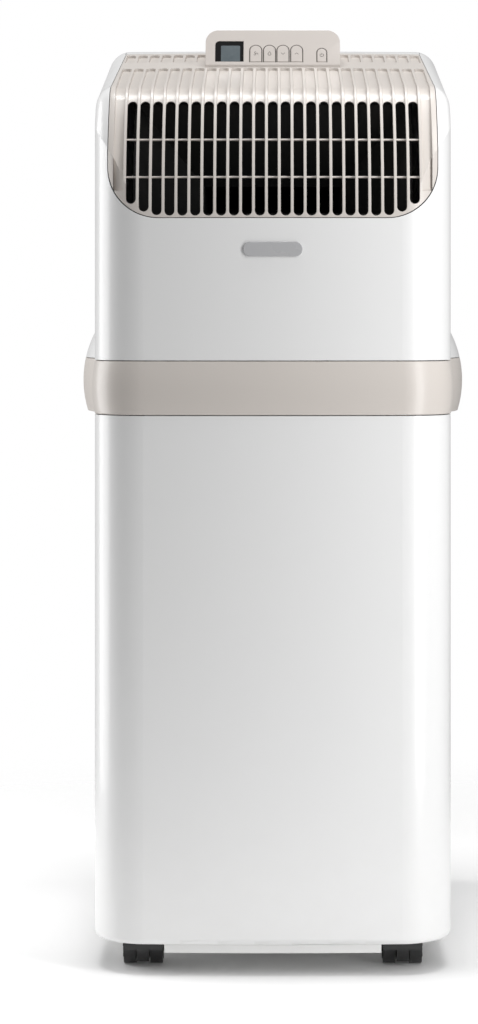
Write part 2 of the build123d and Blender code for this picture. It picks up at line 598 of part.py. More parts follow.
def blower_wheel(radius, width, blades, shaft):
    """Squirrel-cage wheel about the X axis with its driven shaft, middle plane at x = 0."""
    half = width / 2
    wheel = ring((-half, 0, 0), (1, 0, 0), radius, radius - 9, 3)
    wheel += ring((half - 3, 0, 0), (1, 0, 0), radius, radius - 9, 3)
    wheel += rod((-1.5, 0, 0), (1, 0, 0), radius, 3) + rod((-12, 0, 0), (1, 0, 0), 10, 24)
    blade = block((-half, half), (-0.8, 0.8), (radius - 8.5, radius - 0.5))
    blade = blade.rotate(Axis((0, 0, radius - 4), (1, 0, 0)), 25)
    wheel += [blade.rotate(Axis.X, index * 360 / blades) for index in range(blades)]
    return wheel + rod((shaft[0], 0, 0), (1, 0, 0), 4, shaft[1] - shaft[0])


def blower_housing(radius, width, mouth_high, mouth_low, mouth_reach, inlet):
    """Scroll housing about the X axis; the mouth opens towards -Y along the top of the scroll."""
    def scroll(inset):
        outline = Circle(radius - inset)
        mouth = make_face(Polyline(
            (0, mouth_high - inset), (mouth_reach, mouth_high - inset),
            (mouth_reach, mouth_low + inset), (0, mouth_low + inset), close=True,
        ))
        return extrude(Plane.YZ * (outline + mouth), width / 2 - inset, both=True)
    housing = scroll(0) - scroll(2.5)
    inside = (-width / 2 + 2.5, width / 2 - 2.5)
    housing -= block(inside, (mouth_reach - 5, mouth_reach + 5), (mouth_low + 2.5, mouth_high - 2.5))
    return housing - rod((-width, 0, 0), (1, 0, 0), inlet, 2 * width)


def fan_motor(start, radius, length, arm):
    """Motor about the X axis from start, with a mounting bar across its face and a shaft bore."""
    motor = fillet(rod((start, 0, 0), (1, 0, 0), radius, length).edges().group_by(Axis.X)[-1], 5)
    motor += block((start, start + 4), (-7, 7), (-arm, arm))
    return motor - rod((start - 1, 0, 0), (1, 0, 0), 4 + RUNNING_CLEARANCE, length - 8)


COLD_FAN_AT = Pos(0, 18, 500)
write("evaporator_fan_housing", COLD_FAN_AT * blower_housing(88, 110, 88, 20, -93, 50))
write("evaporator_fan_wheel", COLD_FAN_AT * blower_wheel(72, 96, 30, (-48, 86)))
write("evaporator_fan_motor", COLD_FAN_AT * fan_motor(55, 34, 44, 62))


def outlet_funnel(inset):
    """Funnel from the cold blower's mouth to the back of the outlet grille."""
    mouth = Plane((0, -75, 554), x_dir=(1, 0, 0), z_dir=(0, -1, 0))
    slope = math.atan2(32, 90)
    outlet = Plane((0, -140, 603), x_dir=(1, 0, 0), z_dir=(0, -math.cos(slope), math.sin(slope)))
    return loft([
        mouth * Rectangle(110 - 2 * inset, 68 - 2 * inset),
        outlet * Rectangle(208 - 2 * inset, 92 - 2 * inset),
    ], ruled=True)


write("outlet_duct", outlet_funnel(0) - outlet_funnel(2))
write("electrical_box", block((-95, 25), (-158, -92), (400, 500)) - block((-92, 22), (-155, -95), (403, 497)))
write("run_capacitor", rod((60, -125, 400), (0, 0, 1), 18, 78) + rod((60, -125, 478), (0, 0, 1), 5, 8))

# ---------------------------------------------------------------- hot side, under the shelf
write("condenser_coil", coil((TRAY_FLOOR, 240.0)))
to_y_axis = Pos(28, 80, 165) * Rot(0, 0, 90)
hot_scroll = Rot(180, 0, 0) * Rot(90, 0, 0) * blower_housing(78, 60, 78, 18, -98, 46)
write("condenser_fan_housing", to_y_axis * hot_scroll)
write("condenser_fan_wheel", to_y_axis * Rot(0, 0, 180) * blower_wheel(62, 48, 26, (-24, 56)))
write("condenser_fan_motor", to_y_axis * Rot(0, 0, 180) * fan_motor(30, 30, 42, 52))
chamber = block((-74, 112), (50, 125), (263, 392)) - block((-72, 110), (52, 123), (265, 390))
chamber -= rod((0, 115, EXHAUST_Z), (0, 1, 0), EXHAUST_R, 20)
write("exhaust_duct", chamber - block((48, 104), (54, 106), (260, 270)))

shell_r, shell_low, shell_high = 50.0, 50.0, 250.0
can = fillet(rod((*COMPRESSOR_AT, shell_low), (0, 0, 1), shell_r, shell_high - shell_low).edges(), 12)
can -= rod((*COMPRESSOR_AT, shell_low + 12), (0, 0, 1), shell_r - 10, shell_high - shell_low - 24)
write("compressor", can + rod((*COMPRESSOR_AT, shell_high), (0, 0, 1), 6, 6))
feet_spots = [
    (COMPRESSOR_AT[0] + 32 * math.cos(angle), COMPRESSOR_AT[1] + 32 * math.sin(angle))
    for angle in (math.radians(30 + 120 * index) for index in range(3))
]
feet = [rod((x, y, TRAY_FLOOR + 3), (0, 0, 1), 9, 8) for x, y in feet_spots]
write("compressor_feet", Compound(children=feet))
ACCUMULATOR_AT = (24.0, -100.0)
bottle = fillet(rod((*ACCUMULATOR_AT, 60), (0, 0, 1), 20, 130).edges(), 8)
bracket = block((ACCUMULATOR_AT[0] - 4, ACCUMULATOR_AT[0] + 4), (-104, -96), (TRAY_FLOOR + 3, 62))
write("accumulator", bottle + bracket)


def tube(route, radius, bend_r):
    """Round tube along straight runs joined by arcs."""
    path = FilletPolyline(*route, radius=bend_r)
    start = Plane(path @ 0, z_dir=path % 0)
    return sweep(start * Circle(radius), path)


discharge = tube([
    (*COMPRESSOR_AT, shell_high + 6), (*COMPRESSOR_AT, 285), (DISCHARGE_X, COMPRESSOR_AT[1], 285),
    (DISCHARGE_X, TUBE_Y, 285), (DISCHARGE_X, TUBE_Y, 240),
], 4, 14)
suction = tube([
    (*ACCUMULATOR_AT, 190), (*ACCUMULATOR_AT, 350), (SUCTION_X, SUCTION_Y, 350),
    (SUCTION_X, SUCTION_Y, 430), (SUCTION_X, COIL_Y[0] - 20, 430), (SUCTION_X - 9, COIL_Y[0] - 20, 430),
    (SUCTION_X - 9, COIL_Y[0], 430),
], 4, 4)
capillary = rod((CAPILLARY_X, TUBE_Y, 240), (0, 0, 1), 2, 160)
write("refrigerant_tubes", Compound(children=[discharge, suction, capillary]))
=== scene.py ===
"""Portable air conditioner: finishes, small pieces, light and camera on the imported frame.

Metres, +Z up, the front at -Y.
"""
import json
import math

import bpy
import bmesh
from mathutils import Matrix, Vector


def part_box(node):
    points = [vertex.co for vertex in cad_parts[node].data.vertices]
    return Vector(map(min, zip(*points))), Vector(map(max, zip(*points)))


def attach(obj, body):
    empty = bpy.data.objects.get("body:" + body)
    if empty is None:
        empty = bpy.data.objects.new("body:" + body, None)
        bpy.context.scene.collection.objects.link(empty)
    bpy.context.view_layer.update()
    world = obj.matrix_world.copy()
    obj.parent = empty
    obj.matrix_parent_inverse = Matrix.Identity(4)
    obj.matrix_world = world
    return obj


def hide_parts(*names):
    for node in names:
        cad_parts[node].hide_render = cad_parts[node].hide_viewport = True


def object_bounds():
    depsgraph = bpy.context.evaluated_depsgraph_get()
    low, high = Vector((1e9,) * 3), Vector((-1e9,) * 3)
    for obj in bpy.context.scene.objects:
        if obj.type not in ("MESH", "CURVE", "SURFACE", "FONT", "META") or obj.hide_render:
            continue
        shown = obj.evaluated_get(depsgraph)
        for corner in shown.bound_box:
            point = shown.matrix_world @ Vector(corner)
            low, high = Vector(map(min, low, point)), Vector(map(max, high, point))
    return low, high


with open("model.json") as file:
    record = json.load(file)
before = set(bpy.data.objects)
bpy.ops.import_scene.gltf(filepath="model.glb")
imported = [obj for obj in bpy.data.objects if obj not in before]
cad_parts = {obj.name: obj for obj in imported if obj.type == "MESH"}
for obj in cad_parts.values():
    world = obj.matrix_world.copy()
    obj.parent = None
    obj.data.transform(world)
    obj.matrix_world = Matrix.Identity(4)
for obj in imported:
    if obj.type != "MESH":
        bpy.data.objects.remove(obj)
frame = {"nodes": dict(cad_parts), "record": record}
nodes = frame["nodes"]
cad_low, cad_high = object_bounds()
scene = bpy.context.scene
slot_of = {row["node"]: row["material_slot"] for row in frame["record"]["subparts"]}
body_of = {node: body for body, members in frame["record"]["behaviour"]["bodies"].items() for node in members}


# ---------------------------------------------------------------- white casing
# The casing's panels: smooth glossy white styrene, injection moulded and polished, clipped and
# screwed to each other. Long reflections show the skin's faint unevenness; the foot is a little dusty.
class Value:
    """One node socket in an expression: its operators add Math nodes."""

    def __init__(self, graph, socket):
        self.graph = graph
        self.socket = socket

    def math(self, operation, first, second):
        return self.graph.node("ShaderNodeMath", {"operation": operation}, {0: first, 1: second})

    def __add__(self, other):
        return self.math("ADD", self, other)

    def __sub__(self, other):
        return self.math("SUBTRACT", self, other)

    def __rsub__(self, other):
        return self.math("SUBTRACT", other, self)

    def __mul__(self, other):
        return self.math("MULTIPLY", self, other)

    def __truediv__(self, other):
        return self.math("DIVIDE", self, other)

    __radd__ = __add__
    __rmul__ = __mul__


class Graph:
    """A node tree being made, for a finish or for repeated pieces."""

    def __init__(self, tree):
        self.tree = tree

    def node(self, kind, settings, inputs, output=0):
        made = self.tree.nodes.new(kind)
        for name, value in settings.items():
            if name == "stops":
                for stop, (position, colour) in zip(made.color_ramp.elements, value):
                    stop.position, stop.color = position, colour
            else:
                setattr(made, name, value)
        for name, value in inputs.items():
            for one in value if isinstance(value, list) else [value]:
                if isinstance(one, Value):
                    self.tree.links.new(one.socket, made.inputs[name])
                else:
                    made.inputs[name].default_value = one
        return Value(self, made.outputs[output])


class Surface(Graph):
    """A finish: its Principled shader, Object coordinates and the nodes that vary it."""

    def __init__(self, name, constants):
        self.material = bpy.data.materials.new(name)
        self.material.use_nodes = True
        super().__init__(self.material.node_tree)
        self.shader = next(n for n in self.tree.nodes if n.type == "BSDF_PRINCIPLED")
        for socket, value in constants.items():
            self.shader.inputs[socket].default_value = value
        self.place = self.node("ShaderNodeTexCoord", {}, {}, "Object")

    def set(self, socket, value):
        self.tree.links.new(value.socket, self.shader.inputs[socket])

    def noise(self, scale, detail=3.0, stretch=None):
        place = self.place
        if stretch:
            place = self.node("ShaderNodeMapping", {}, {"Vector": place, "Scale": stretch})
        return self.node("ShaderNodeTexNoise", {}, {"Vector": place, "Scale": scale, "Detail": detail})

    def blend(self, factor, first, second):
        return self.node(
            "ShaderNodeMix", {"data_type": "RGBA"}, {"Factor": factor, 6: first, 7: second}, 2
        )

    def clamp(self, value):
        return self.node("ShaderNodeClamp", {}, {"Value": value})

    def bump(self, height, strength, distance, edge=0.0):
        inputs = {"Height": height, "Strength": strength, "Distance": distance}
        if edge:
            inputs["Normal"] = self.node("ShaderNodeBevel", {"samples": 4}, {"Radius": edge})
        self.set("Normal", self.node("ShaderNodeBump", {}, inputs))

    def height_above_floor(self):
        return self.node("ShaderNodeSeparateXYZ", {}, {"Vector": self.place}, 2)


DRIFT_SCALE, SCUFF_SCALE, GRAIN_SCALE, WAVE_SCALE = 9.0, 34.0, 900.0, 22.0
SCUFF_RANGE = 0.08
DUST_SCALE, DUST_HEIGHT, DUST_COLOUR = 60.0, 0.14, (0.55, 0.53, 0.50, 1)


def moulded_plastic(name, colour, shade, roughness, grain, coat=0.0, dust=0.0, edge=0.0006):
    """Moulded plastic: slight colour drift, fine skin grain, a little scuffing, softly broken edges."""
    surface = Surface(name, {"Coat Roughness": 0.06, "Coat Weight": coat})
    tint = surface.blend(surface.noise(DRIFT_SCALE, 2.0), (*colour, 1), (*shade, 1))
    if dust:
        low = surface.clamp(1 - surface.height_above_floor() / DUST_HEIGHT)
        film = low * surface.noise(DUST_SCALE, 6.0) * dust
        tint = surface.blend(film, tint, DUST_COLOUR)
    surface.set("Base Color", tint)
    surface.set("Roughness", surface.noise(SCUFF_SCALE, 5.0) * SCUFF_RANGE + (roughness - SCUFF_RANGE / 2))
    skin = surface.noise(GRAIN_SCALE, 2.0) * grain + surface.noise(WAVE_SCALE, 2.0) * 0.5
    surface.bump(skin, 0.10, 0.0004, edge)
    return surface.material


def finish(piece, material):
    """Give a piece one material all over."""
    piece.data.materials.clear()
    piece.data.materials.append(material)


white = moulded_plastic("white_casing", (0.86, 0.86, 0.857), (0.845, 0.845, 0.845), 0.30, 0.08, 0.25, 0.15)
WHITE_PANELS = (
    "front_panel_lower", "front_panel_upper", "top_cover", "rear_panel_lower", "rear_panel_upper",
    "left_side_panel_lower", "left_side_panel_upper", "right_side_panel_lower", "right_side_panel_upper",
)
for panel in WHITE_PANELS:
    finish(nodes[panel], white)

# ---------------------------------------------------------------- base tray
# The tray that carries everything: one deep white polypropylene moulding, duller than the casing,
# whose drip sump hangs between the castors. It is screwed to the rear panel from behind.
tray_white = moulded_plastic("tray_white", (0.80, 0.80, 0.79), (0.77, 0.77, 0.76), 0.40, 0.4, 0.0, 0.1)
finish(nodes["base_tray"], tray_white)


# ---------------------------------------------------------------- belt and hand grips
# A crowned band in warm grey ABS with a satin, finely eroded skin. Its flank pieces swell into the
# carrying grips; the four lengths clip to the casing and meet at the vertical seams.
MERGE_GAP, FLAT_ANGLE = 2e-6, math.radians(0.3)


def merged_copy(name, node):
    """A CAD node's shape as a clean mesh of its own, standing for that node."""
    mesh = nodes[node].data.copy()
    mesh.name = name
    piece = bpy.data.objects.new(name, mesh)
    scene.collection.objects.link(piece)
    work = bmesh.new()
    work.from_mesh(mesh)
    bmesh.ops.remove_doubles(work, verts=work.verts, dist=MERGE_GAP)
    bmesh.ops.dissolve_limit(work, angle_limit=FLAT_ANGLE, verts=work.verts, edges=work.edges)
    return piece, work


def softened(name, node, width, material, angle=35, rim=None):
    """A copy of a CAD node whose sharp edges, or only those that rim picks, are rounded over."""
    piece, work = merged_copy(name, node)
    if rim:
        weight = work.edges.layers.float.new("bevel_weight_edge")
        for edge in work.edges:
            sharp = len(edge.link_faces) == 2 and edge.calc_face_angle() > math.radians(angle)
            edge[weight] = 1.0 if sharp and all(rim(vert.co) for vert in edge.verts) else 0.0
    work.to_mesh(piece.data)
    work.free()
    piece.data.shade_smooth()
    piece.data.set_sharp_from_angle(angle=math.radians(angle))
    bevel = piece.modifiers.new("edge radius", "BEVEL")
    bevel.width = width
    bevel.segments = 3
    bevel.limit_method = "WEIGHT" if rim else "ANGLE"
    bevel.angle_limit = math.radians(angle)
    bevel.harden_normals = True
    finish(piece, material)
    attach(piece, body_of[node])
    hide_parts(node)
    return piece


belt_plastic = moulded_plastic("grey_belt", (0.66, 0.615, 0.575), (0.64, 0.595, 0.555), 0.34, 0.6, 0.12)
BELT_EDGE_R = 0.0009
for name in ("front_belt", "rear_belt", "left_handle", "right_handle"):
    softened(f"{name}_band", name, BELT_EDGE_R, belt_plastic)

# ---------------------------------------------------------------- outlet grille
# The grille is one pale beige ABS moulding, satin, with its ribs' edges just broken, and the funnel
# behind its slots is black. Four hooks and the roof panel's edge hold it in the casing.
beige = moulded_plastic(
    "beige_grille", (0.68, 0.635, 0.595), (0.66, 0.615, 0.575), 0.34, 0.4, coat=0.10, edge=0.0008
)
finish(nodes["outlet_grille"], beige)

# ---------------------------------------------------------------- control pod
# The pod is moulded in the grille's plastic and sits over its back edge on hidden clips. Its rim is
# generously rounded, and thin lines are printed round the push buttons.
POD_HALF_WIDTH, POD_CORNER_R, RIM_SLACK = 0.053, 0.010, 0.0005
FACE_FOOT, FACE_LEAN = Vector((0.0, -0.0345, 0.683)), math.radians(27)
pod_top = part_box("control_pod")[1][2]


def on_pod_rim(point):
    """Whether a point lies on the pod's outline as it is seen from the front."""
    across = max(abs(point.x) - (POD_HALF_WIDTH - POD_CORNER_R), 0.0)
    above = max(point.z - (pod_top - POD_CORNER_R), 0.0)
    return math.hypot(across, above) > POD_CORNER_R - RIM_SLACK and point.z > FACE_FOOT.z


pod_plastic = moulded_plastic(
    "pod_beige", (0.63, 0.585, 0.55), (0.615, 0.57, 0.535), 0.38, 0.5, coat=0.05, edge=0.0004
)
POD_EDGE_R, POD_SHARP_ANGLE = 0.0024, 25
softened("pod_cover", "control_pod", POD_EDGE_R, pod_plastic, POD_SHARP_ANGLE, on_pod_rim)

FACE_UP = Vector((0, math.sin(FACE_LEAN), math.cos(FACE_LEAN)))
FACE_OUT = Vector((0, -math.cos(FACE_LEAN), math.sin(FACE_LEAN)))
INK_SINK, INK_RISE = -0.00004, 0.00006


def on_face(spot, level):
    """Place of an (across, up) spot on the pod's face, raised off it by level."""
    return FACE_FOOT + Vector((spot.x, 0, 0)) + FACE_UP * spot.y + FACE_OUT * level


def printed_lines(name, body, lines, width, level, material):
    """Raised ink: each line is a list of (across, up) points on the pod's face, given a width."""
    mesh = bpy.data.meshes.new(name)
    piece = bpy.data.objects.new(name, mesh)
    scene.collection.objects.link(piece)
    work = bmesh.new()
    for line in lines:
        closed = (line[0] - line[-1]).length < 1e-7
        points = line[:-1] if closed else line
        rows = []
        for index, point in enumerate(points):
            before = points[index - 1] if index or closed else point
            after = points[(index + 1) % len(points)] if index + 1 < len(points) or closed else point
            along = (after - before).normalized()
            aside = Vector((-along.y, along.x)) * (width / 2)
            row = []
            for way, lift in ((1, INK_SINK), (-1, INK_SINK), (-1, INK_RISE), (1, INK_RISE)):
                row.append(work.verts.new(on_face(point + aside * way, level + lift)))
            rows.append(row)
        pairs = list(zip(rows, rows[1:])) + ([(rows[-1], rows[0])] if closed else [])
        for here, there in pairs:
            for side in range(4):
                after = (side + 1) % 4
                work.faces.new((here[side], here[after], there[after], there[side]))
        if not closed:
            work.faces.new(rows[0][::-1])
            work.faces.new(rows[-1])
    bmesh.ops.recalc_face_normals(work, faces=work.faces)
    work.to_mesh(mesh)
    work.free()
    finish(piece, material)
    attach(piece, body)
    return piece


def arc(across, up, radius, first, last, steps=14):
    """Points round an arc on the pod's face, its angles in degrees from the right."""
    angles = [math.radians(first + (last - first) * step / steps) for step in range(steps + 1)]
    return [Vector((across + radius * math.cos(a), up + radius * math.sin(a))) for a in angles]


BUTTON_PROUD, BUTTON_GAP, BUTTON_FOOT = 0.0003, 0.0003, 0.0027
OUTLINE_WIDTH = 0.00045
KEY_HEIGHT, POWER_KEY_HEIGHT = 0.0150, 0.0122
ink = moulded_plastic("grey_ink", (0.10, 0.085, 0.075), (0.13, 0.115, 0.10), 0.5, 0.2, 0.0, 0.0, 0.0)
BUTTONS = ("fan_button", "mode_button", "down_button", "up_button", "power_button")
outlines, centres = [], {}
for name in BUTTONS:
    low, high = (Vector(corner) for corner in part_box(name))
    middle, half = (low.x + high.x) / 2, (high.x - low.x) / 2
    reach = half + BUTTON_GAP + OUTLINE_WIDTH / 2
    tip = (POWER_KEY_HEIGHT if name == "power_button" else KEY_HEIGHT) + BUTTON_FOOT
    shoulder = tip - half
    feet = [Vector((middle + side * reach, BUTTON_FOOT - BUTTON_GAP)) for side in (1, -1)]
    outlines.append([feet[0], *arc(middle, shoulder, reach, 0, 180), feet[1]])
    centres[name] = (middle, (BUTTON_FOOT + tip) / 2)
printed_lines("pod_outlines", "cabinet", outlines, OUTLINE_WIDTH, 0.0, ink)

# ---------------------------------------------------------------- push buttons
# Five sprung keys in the pod's plastic, each with a plain printed sign: fan blades, a drop for the
# mode, arrows down and up, and the usual ring and bar for power.
SIGN_WIDTH, KEY_EDGE_R = 0.0004, 0.0004
BLADE_R, DROP_R, RING_R, ARROW_HALF = 0.0009, 0.0012, 0.0014, 0.0014
for name in BUTTONS:
    softened(f"{name}_key", name, KEY_EDGE_R, pod_plastic)


def fan_sign(across, up):
    """Three half-round blades about the sign's middle."""
    blades = []
    for turned in (90, 210, 330):
        lean = math.radians(turned)
        root = (across + BLADE_R * math.cos(lean), up + BLADE_R * math.sin(lean))
        blades.append(arc(*root, BLADE_R, turned, turned + 180, 8))
    return blades


def drop_sign(across, up):
    """A water drop, its tip upwards."""
    tip = Vector((across, up + 1.75 * DROP_R))
    return [[tip, *arc(across, up - DROP_R / 3, DROP_R, 150, 390, 12), tip.copy()]]


def arrow_sign(across, up, way):
    """An open arrow head, upwards where way is 1 and downwards where it is -1."""
    drop = ARROW_HALF / 2 * way
    ends = [Vector((across + side * ARROW_HALF, up - drop)) for side in (-1, 1)]
    return [[ends[0], Vector((across, up + drop)), ends[1]]]


def power_sign(across, up):
    """The usual broken ring with an upright bar in its gap."""
    bar = [Vector((across, up + RING_R / 7)), Vector((across, up + RING_R * 19 / 14))]
    return [arc(across, up, RING_R, 130, 410, 16), bar]


signs = {
    "fan_button": fan_sign(*centres["fan_button"]),
    "mode_button": drop_sign(*centres["mode_button"]),
    "down_button": arrow_sign(*centres["down_button"], -1),
    "up_button": arrow_sign(*centres["up_button"], 1),
    "power_button": power_sign(*centres["power_button"]),
}
for name, lines in signs.items():
    printed_lines(f"{name}_sign", body_of[name], lines, SIGN_WIDTH, BUTTON_PROUD, ink)

# ---------------------------------------------------------------- display
# A smoked acrylic window, black round its edge, over a small blue-grey liquid-crystal panel that
# shows nothing while the machine is off. The panel is taped to the display module.
window = moulded_plastic("window_black", (0.004, 0.004, 0.005), (0.006, 0.006, 0.006), 0.16, 0.05)
finish(nodes["display_lens"], window)
crystal = Surface("liquid_crystal", {"Coat Weight": 0.5, "Coat Roughness": 0.08, "Roughness": 0.25})
CELL_SCALE, MOTTLE_SCALE = 2600.0, 140.0
cells = crystal.node("ShaderNodeTexChecker", {}, {"Vector": crystal.place, "Scale": CELL_SCALE}, 1)
mottle = crystal.noise(MOTTLE_SCALE, 2.0)
glow = crystal.blend(mottle, (0.085, 0.11, 0.125, 1), (0.15, 0.18, 0.195, 1))
crystal.set("Base Color", crystal.blend(cells * 0.15, glow, (0.06, 0.08, 0.09, 1)))
PANEL_X, PANEL_UP, PANEL_CORNER = (-0.0409, -0.0257), (0.0033, 0.0180), 0.0006
PANEL_SINK, PANEL_RISE, PANEL_EDGE, PANEL_TOP_SCALE = -0.0009, -0.00037, 0.00008, 0.988
mesh = bpy.data.meshes.new("display_crystal")
crystal_panel = bpy.data.objects.new("display_crystal", mesh)
scene.collection.objects.link(crystal_panel)
work = bmesh.new()
left, right, foot, top = *PANEL_X, *PANEL_UP
corners = (
    (left + PANEL_CORNER, foot + PANEL_CORNER, 180), (right - PANEL_CORNER, foot + PANEL_CORNER, 270),
    (right - PANEL_CORNER, top - PANEL_CORNER, 0), (left + PANEL_CORNER, top - PANEL_CORNER, 90),
)
outline = [point for x, up, first in corners for point in arc(x, up, PANEL_CORNER, first, first + 90, 4)]
rings = []
middle = Vector((sum(PANEL_X) / 2, sum(PANEL_UP) / 2))
for level, shrink in ((PANEL_SINK, 1.0), (PANEL_RISE - PANEL_EDGE, 1.0), (PANEL_RISE, PANEL_TOP_SCALE)):
    spots = [middle + (point - middle) * shrink for point in outline]
    rings.append([work.verts.new(on_face(spot, level)) for spot in spots])
for below, above in zip(rings, rings[1:]):
    for index in range(len(below)):
        after = (index + 1) % len(below)
        work.faces.new((below[index], below[after], above[after], above[index]))
work.faces.new(rings[0][::-1])
work.faces.new(rings[-1])
bmesh.ops.recalc_face_normals(work, faces=work.faces)
work.to_mesh(mesh)
work.free()
finish(crystal_panel, crystal.material)
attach(crystal_panel, "cabinet")

# ---------------------------------------------------------------- badge
# A plain satin plate with rounded ends and nothing on it, bonded to the upper front panel.
badge = moulded_plastic("badge_satin", (0.50, 0.50, 0.51), (0.46, 0.46, 0.47), 0.28, 0.3, 0.4)
BADGE_EDGE_R = 0.0005
softened("blank_badge", "badge_plate", BADGE_EDGE_R, badge)


# ---------------------------------------------------------------- rear screws
# Ten zinc-plated pan-head screws with a cross recess hold the rear panels to the side panels and
# the tray. They were driven by hand, so each recess stands at its own angle.
MARK_SCALE, MARK_SHADE, MARK_ROUGHNESS = 120.0, 0.82, 0.2


def metal(name, colour, roughness, stretch):
    """Metal with drawn or rolled marks along one direction."""
    surface = Surface(name, {"Metallic": 1.0})
    marks = surface.noise(MARK_SCALE, 4.0, stretch)
    surface.set("Base Color", surface.blend(marks, (*colour, 1), (*[part * MARK_SHADE for part in colour], 1)))
    surface.set("Roughness", marks * MARK_ROUGHNESS + roughness)
    surface.bump(marks, 0.2, 0.0002)
    return surface.material


class Recipe(Graph):
    """A geometry tree that makes repeated pieces, with named sizes."""

    def __init__(self, name, sizes):
        super().__init__(bpy.data.node_groups.new(name, "GeometryNodeTree"))
        self.tree.interface.new_socket("Geometry", in_out="INPUT", socket_type="NodeSocketGeometry")
        self.sockets, self.sizes = {}, sizes
        for label, value in sizes.items():
            kind = "NodeSocketInt" if isinstance(value, int) else "NodeSocketFloat"
            self.sockets[label] = self.tree.interface.new_socket(label, in_out="INPUT", socket_type=kind)
        self.tree.interface.new_socket("Geometry", in_out="OUTPUT", socket_type="NodeSocketGeometry")
        self.entry = self.tree.nodes.new("NodeGroupInput")
        self.given = Value(self, self.entry.outputs["Geometry"])

    def size(self, label):
        return Value(self, self.entry.outputs[label])

    def vector(self, x=0.0, y=0.0, z=0.0):
        return self.node("ShaderNodeCombineXYZ", {}, {0: x, 1: y, 2: z})

    def cuboid(self, x, y, z):
        return self.node("GeometryNodeMeshCube", {}, {"Size": self.vector(x, y, z)})

    def moved(self, geometry, place=(0, 0, 0), turn=(0, 0, 0), scale=(1, 1, 1)):
        inputs = {"Geometry": geometry, "Translation": place, "Rotation": turn, "Scale": scale}
        return self.node("GeometryNodeTransform", {}, inputs)

    def joined(self, pieces):
        return self.node("GeometryNodeJoinGeometry", {}, {0: pieces})

    def instances(self, points, piece, turn=(0, 0, 0)):
        inputs = {"Points": points, "Instance": piece, "Rotation": turn}
        return self.node("GeometryNodeInstanceOnPoints", {}, inputs)

    def make(self, name, result, material, body, slot, points=()):
        """Close the tree, run it on the given points and keep the result as a plain piece."""
        real = self.node("GeometryNodeRealizeInstances", {}, {0: result})
        done = self.node("GeometryNodeSetMaterial", {}, {0: real, "Material": material})
        ending = self.tree.nodes.new("NodeGroupOutput")
        self.tree.links.new(done.socket, ending.inputs[0])
        seed_mesh = bpy.data.meshes.new(f"{name}_points")
        seed_mesh.from_pydata(list(points), [], [])
        maker = bpy.data.objects.new(f"{name}_maker", seed_mesh)
        scene.collection.objects.link(maker)
        modifier = maker.modifiers.new("recipe", "NODES")
        modifier.node_group = self.tree
        for label, value in self.sizes.items():
            modifier[self.sockets[label].identifier] = value
        evaluated = maker.evaluated_get(bpy.context.evaluated_depsgraph_get())
        mesh = bpy.data.meshes.new_from_object(evaluated)
        mesh.name = name
        maker.modifiers.remove(modifier)
        bpy.data.objects.remove(maker)
        piece = bpy.data.objects.new(name, mesh)
        scene.collection.objects.link(piece)
        finish(piece, material)
        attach(piece, body)
        return piece


zinc = metal("zinc_steel", (0.60, 0.60, 0.62), 0.28, (1.0, 6.0, 1.0))
SCREW_X, SCREW_HEIGHTS = 0.112, (0.044, 0.255, 0.392, 0.465, 0.650)
HEAD_R, HEAD_HEIGHT = 0.0034, 0.0016
screw_face_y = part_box("rear_screws")[1][1]
driven = Recipe("pan_head_screws", {
    "Head radius": HEAD_R, "Head height": HEAD_HEIGHT, "Recess width": HEAD_R, "Recess depth": 0.0011,
    "Recess bar": 0.0007, "Turn seed": 7,
})
ball = driven.node(
    "GeometryNodeMeshUVSphere", {}, {"Segments": 28, "Rings": 16, "Radius": driven.size("Head radius")}
)
flatten = driven.vector(1.0, 1.0, driven.size("Head height") / driven.size("Head radius"))
head = driven.moved(ball, (0, 0, 0), (0, 0, 0), flatten)
deep = driven.size("Recess depth") * 2
# The second bar is smaller by a hair, so that no faces of the two coincide in the cut.
HAIR_LESS = 0.999
bars = driven.joined([
    driven.cuboid(driven.size("Recess width"), driven.size("Recess bar"), deep),
    driven.cuboid(driven.size("Recess bar"), driven.size("Recess width") * HAIR_LESS, deep * HAIR_LESS),
])
bars = driven.moved(bars, driven.vector(0.0, 0.0, driven.size("Head height")))
cut = driven.node("GeometryNodeMeshBoolean", {"operation": "DIFFERENCE"}, {0: head, 1: [bars]})
turns = {2: 0.0, 3: math.pi, "Seed": driven.size("Turn seed")}
angle = driven.node("FunctionNodeRandomValue", {"data_type": "FLOAT"}, turns, 1)
turn = driven.vector(-math.pi / 2, angle, 0.0)
heads = driven.instances(driven.given, cut, turn)
spots = [(side * SCREW_X, screw_face_y - HEAD_HEIGHT, z) for z in SCREW_HEIGHTS for side in (-1, 1)]
screws = driven.make("pan_head_screws", heads, zinc, "cabinet", slot_of["rear_screws"], spots)
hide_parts("rear_screws")

